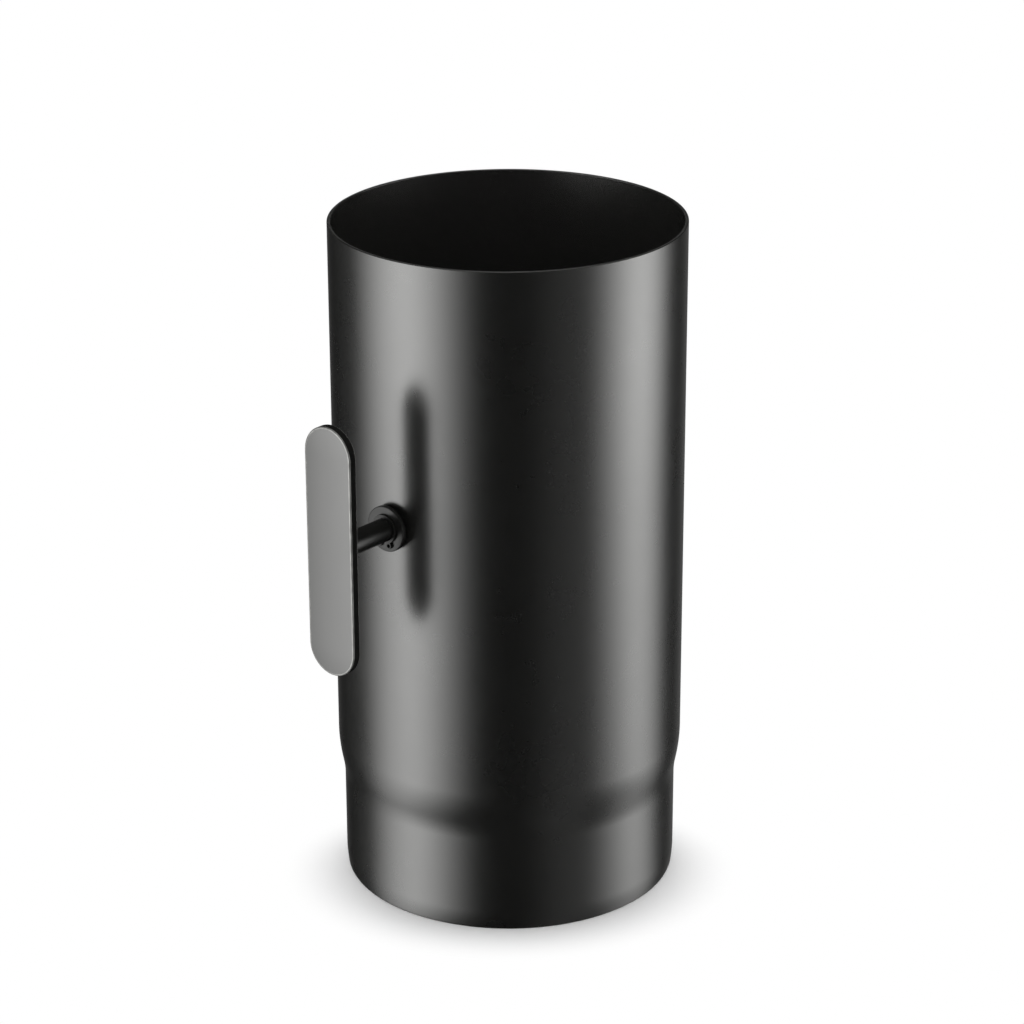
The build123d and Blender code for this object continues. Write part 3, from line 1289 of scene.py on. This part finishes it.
@dataclass(frozen=True)
class Studio:
    """White paper sweep, a soft lamp and the dark room with bright cards that the paint mirrors.

    Attributes:
        sweep_radius: Where the paper starts to rise.
        sweep_bend: Radius of its bend.
        sweep_height: Height of its upper edge.
        sweep_ring: Radius of a ring of points on the flat paper.
        sweep_steps: Steps along the bend.
        sweep_columns: Points round the sweep.
        paper: The paper's colour.
        shade_bearing: Bearing along which the shadow on the paper is short, in degrees.
        shade_ahead: How far along it the shadow's middle lies.
        shade_stretch: How much faster the shadow fades along it, before and behind its middle.
        shade_reach: Distances from its middle between which the shadow gives way to plain white.
        foot: Distances from the pipe's axis between which the paper under the pipe ends.
        lamp_size: Width of the overhead lamp.
        lamp_place: Its place, behind the part as the camera sees it.
        lamp_power: Its power in watts.
        sky: Brightness of the dim room around.
        mirror_radius: Radius of the mirrored room.
        mirror_rows: Steps from its lowest to its highest point.
        mirror_columns: Points round it.
        glow_colour: Colour of its light.
        gloom: Brightness of its dark walls.
        ceiling: Brightness of its ceiling.
        ceiling_rise: Elevations between which the walls turn into the ceiling, in degrees.
        cards: The bright cards in it.
    """

    sweep_radius: float = 2.6
    sweep_bend: float = 0.7
    sweep_height: float = 1.9
    sweep_ring: float = 0.5
    sweep_steps: int = 16
    sweep_columns: int = 96
    paper: Place = (0.92, 0.92, 0.92)
    shade_bearing: float = VIEW_BEARING
    shade_ahead: float = 17.0 * MM
    shade_stretch: Spot = (1.215, 1.375)
    shade_reach: Spot = (66.6 * MM, 102.9 * MM)
    foot: Spot = (72.0 * MM, 74.0 * MM)
    lamp_size: float = 2.4
    lamp_place: Place = (-0.2, 0.23, 1.9)
    lamp_power: float = 30.0
    sky: float = 0.6
    mirror_radius: float = 12.0
    mirror_rows: int = 24
    mirror_columns: int = 48
    glow_colour: Place = (1.0, 1.0, 0.985)
    gloom: float = 0.02
    ceiling: float = 1.2
    ceiling_rise: Spot = (35.0, 70.0)
    cards: tuple[GlowCard, ...] = (LEFT_BAND, RIGHT_BAND, MIDDLE_SHEEN, RIGHT_EDGE, LEFT_EDGE)

    def paper_material(self) -> bpy.types.Material:
        """White paper that keeps the object's shadow near it and is plain white further out.

        Returns:
            The material.
        """
        made = bpy.data.materials.new("white_paper")
        shader = Shader(made)
        x, y, z = shader.axes()
        turn = radians(self.shade_bearing)
        across, ahead = cos(turn) * x + sin(turn) * y, sin(turn) * x - cos(turn) * y - self.shade_ahead
        before, behind = self.shade_stretch
        along = shader.maths("MAXIMUM", before * ahead, -behind * ahead)
        faded = shader.distance(across, along, z).step(*self.shade_reach)
        beside = shader.distance(x, y).step(*self.foot)
        rays = shader.node("ShaderNodeLightPath")
        kinds = ("Camera", "Glossy", "Transmission")
        seen = sum(Amount(shader, rays.outputs[f"Is {kind} Ray"]) for kind in kinds)
        direct = shader.maths("MINIMUM", seen, 1.0)
        lit = shader.node("ShaderNodeBsdfDiffuse", None, {"Color": (*self.paper, 1.0)})
        plain = shader.node("ShaderNodeEmission", None, {"Color": (1.0, 1.0, 1.0, 1.0), "Strength": 1.0})
        shared = {0: direct * beside * faded, 1: lit.outputs[0], 2: plain.outputs[0]}
        shader.output(shader.node("ShaderNodeMixShader", None, shared))
        return made

    def build_sweep(self) -> bpy.types.Object:
        """A flat round floor that bends up into a wall, turned about the pipe's axis.

        Returns:
            The sweep.
        """
        bend = arc((self.sweep_radius, self.sweep_bend), self.sweep_bend, -90, 0, self.sweep_steps)
        wall = self.sweep_radius + self.sweep_bend
        profile = np.concatenate([[(0.0, 0.0), (self.sweep_ring, 0.0)], bend, [(wall, self.sweep_height)]])
        surface = Surface("paper_sweep")
        surface.add_grid(turned_about_z(profile, self.sweep_columns))
        return surface.make()

    def build_mirrored_room(self) -> bpy.types.Object:
        """A sphere about the part, so large that only directions matter in it.

        Returns:
            The room.
        """
        profile = arc((0.0, 0.0), self.mirror_radius, -90, 90, self.mirror_rows)
        surface = Surface("mirrored_room")
        surface.add_grid(turned_about_z(profile, self.mirror_columns))
        return surface.make()

    def room_material(self) -> bpy.types.Material:
        """Dark walls, a lighter ceiling and the glow of each card.

        Returns:
            The material.
        """
        made = bpy.data.materials.new("dark_room_with_cards")
        shader = Shader(made)
        x, y, z = shader.axes()
        bearing = shader.maths("ARCTAN2", x, 0.0 - y) * degrees(1.0)
        elevation = shader.maths("ARCTAN2", z, shader.distance(x, y)) * degrees(1.0)
        glow = self.gloom + self.ceiling * elevation.step(*self.ceiling_rise)
        for card in self.cards:
            glow = glow + card.glow(shader, bearing, elevation)
        colour = (*self.glow_colour, 1.0)
        shader.output(shader.node("ShaderNodeEmission", None, {"Color": colour, "Strength": glow}))
        return made

    def build_lamp(self) -> None:
        """One large soft lamp overhead, which reflections don't see."""
        data = bpy.data.lights.new("overhead_softbox", "AREA")
        data.shape = "DISK"
        data.size = self.lamp_size
        data.energy = self.lamp_power
        lamp = bpy.data.objects.new("overhead_softbox", data)
        lamp.location = self.lamp_place
        lamp.visible_camera = False
        lamp.visible_glossy = False
        bpy.context.scene.collection.objects.link(lamp)

    def build_room(self) -> None:
        """A dim grey room around."""
        world = bpy.data.worlds.new("dim_room")
        bpy.context.scene.world = world
        shader = Shader(world)
        white = (1.0, 1.0, 1.0, 1.0)
        light = shader.node("ShaderNodeBackground", None, {"Color": white, "Strength": self.sky})
        shader.output(light, "ShaderNodeOutputWorld")

    def build(self) -> None:
        """Sets up the sweep, the mirrored room, the lamp and the dim room."""
        sweep = self.build_sweep()
        sweep.data.materials.append(self.paper_material())
        sweep.visible_glossy = False
        mirrored = self.build_mirrored_room()
        mirrored.data.materials.append(self.room_material())
        for visibility in ("visible_camera", "visible_diffuse", "visible_transmission", "visible_shadow"):
            setattr(mirrored, visibility, False)
        self.build_lamp()
        self.build_room()
        bpy.context.scene.view_settings.view_transform = "Standard"
        log.info("studio: sweep, mirrored room with %d cards, lamp and dim room", len(self.cards))


@dataclass(frozen=True)
class PhotoCamera:
    """The camera of the photograph.

    Attributes:
        bearing: Its bearing from the part, in degrees from -Y towards +X.
        distance: Its level distance from the pipe's axis.
        height: Its height.
        pitch: How far it looks down, in degrees.
        pan: How far it is turned to the left, in degrees.
        roll: How far its right side is lowered, in degrees.
        lens: Focal length in millimetres.
        sensor: Sensor width in millimetres.
    """

    bearing: float = VIEW_BEARING
    distance: float = 1.3179
    height: float = 0.6908
    pitch: float = 21.703
    pan: float = -0.062
    roll: float = 0.172
    lens: float = 113.94
    sensor: float = 36.0

    def build(self) -> None:
        """Makes the camera and gives it to the scene."""
        stand, look = radians(self.bearing), radians(self.bearing + self.pan)
        down, tilt = radians(self.pitch), radians(self.roll)
        upwards = Vector((0, 0, 1))
        level = Vector((-sin(look), cos(look), 0.0))
        side = Vector((cos(look), sin(look), 0.0))
        ahead = level * cos(down) - upwards * sin(down)
        up = level * sin(down) + upwards * cos(down)
        right = side * cos(tilt) - up * sin(tilt)
        upright = side * sin(tilt) + up * cos(tilt)
        data = bpy.data.cameras.new("photo_camera")
        data.lens = self.lens
        data.sensor_width = self.sensor
        camera = bpy.data.objects.new("photo_camera", data)
        turn = Matrix((right, upright, -ahead)).transposed().to_4x4()
        place = Vector((self.distance * sin(stand), -self.distance * cos(stand), self.height))
        camera.matrix_world = Matrix.Translation(place) @ turn
        bpy.context.scene.collection.objects.link(camera)
        bpy.context.scene.camera = camera


# The part with its finishes


@dataclass(frozen=True)
class Workshop:
    """Every finish, and the sub-assemblies that use them.

    Attributes:
        body_paint: The pipe's paint, scuffed through at both rims, with painted light on its inner side.
        handle_paint: The paint on the handle and its weld, with a painted highlight along the bar's edges.
        sheared_edge: The matt sheared band round the handle.
        shaft_steel: The shaft, with drawing marks along it.
        washer_steel: The flat washers and the washers of the flap's screws.
        ring_steel: The retaining rings, the spring washers and the flap's screws.
        flap_steel: The flap, with rolling marks and scale.
    """

    body_paint: BlackPaint = BlackPaint(
        "satin_stove_paint",
        rims=((PIPE_LENGTH - 0.28 * MM, PIPE_LENGTH - 0.1 * MM), (0.28 * MM, 0.1 * MM)),
        sheet_middle=(SPIGOT_RADIUS - SHEET / 2, BODY_RADIUS - SHEET / 2),
    )
    # The lighter edge colour given here is a painted highlight along the bar's edges.
    handle_paint: BarPaint = BarPaint(
        "satin_handle_paint", rubbed_and_highlight_colour=(0.175, 0.175, 0.17), gloss=0.66, roughness=0.30
    )
    sheared_edge: BlackSteel = BlackSteel(
        "sheared_handle_edge", (0.0075, 0.0075, 0.0070), roughness=0.80, gloss=0.0, marks=(1.0, 0.1, 1.0)
    )
    shaft_steel: BlackSteel = BlackSteel(
        "drawn_black_shaft", (0.006, 0.006, 0.0055), roughness=0.34, gloss=0.32, marks=(1.0, 0.04, 1.0)
    )
    washer_steel: BlackSteel = BlackSteel(
        "blackened_washers", (0.010, 0.010, 0.0095), roughness=0.30, gloss=0.22
    )
    ring_steel: BlackSteel = BlackSteel(
        "phosphated_spring_steel", (0.008, 0.008, 0.0075), roughness=0.36, gloss=0.20
    )
    flap_steel: BlackSteel = BlackSteel(
        "scaled_flap_steel",
        (0.020, 0.020, 0.019),
        roughness=0.55,
        gloss=0.5,
        metal=0.2,
        marks=(1.0, 1.0, 0.06),
        mark_size=0.4 * MM,
        mark_depth=0.006 * MM,
        blotches=0.5,
    )

    def build(self) -> None:
        """Builds and dresses every sub-assembly."""
        FluePipe().dress(self.body_paint.material())
        Handle().dress(self.handle_paint.material(), self.sheared_edge.material())
        Shaft().dress(self.shaft_steel.material())
        washer_steel, ring_steel = self.washer_steel.material(), self.ring_steel.material()
        for side in Side:
            ShaftStack(side).dress(washer_steel, ring_steel)
        Flap().dress(self.flap_steel.material(), ring_steel, washer_steel)


def corners(box: tuple[Vector, Vector]) -> list[list[float]]:
    """A box's two corners as plain lists."""
    return [list(corner) for corner in box]


def main() -> None:
    """Builds the camera, the studio and the part."""
    logging.basicConfig(level=logging.INFO, format="%(name)s: %(message)s")
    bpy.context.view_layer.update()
    PhotoCamera().build()
    Studio().build()
    Workshop().build()


if __name__ == "__main__":
    main()
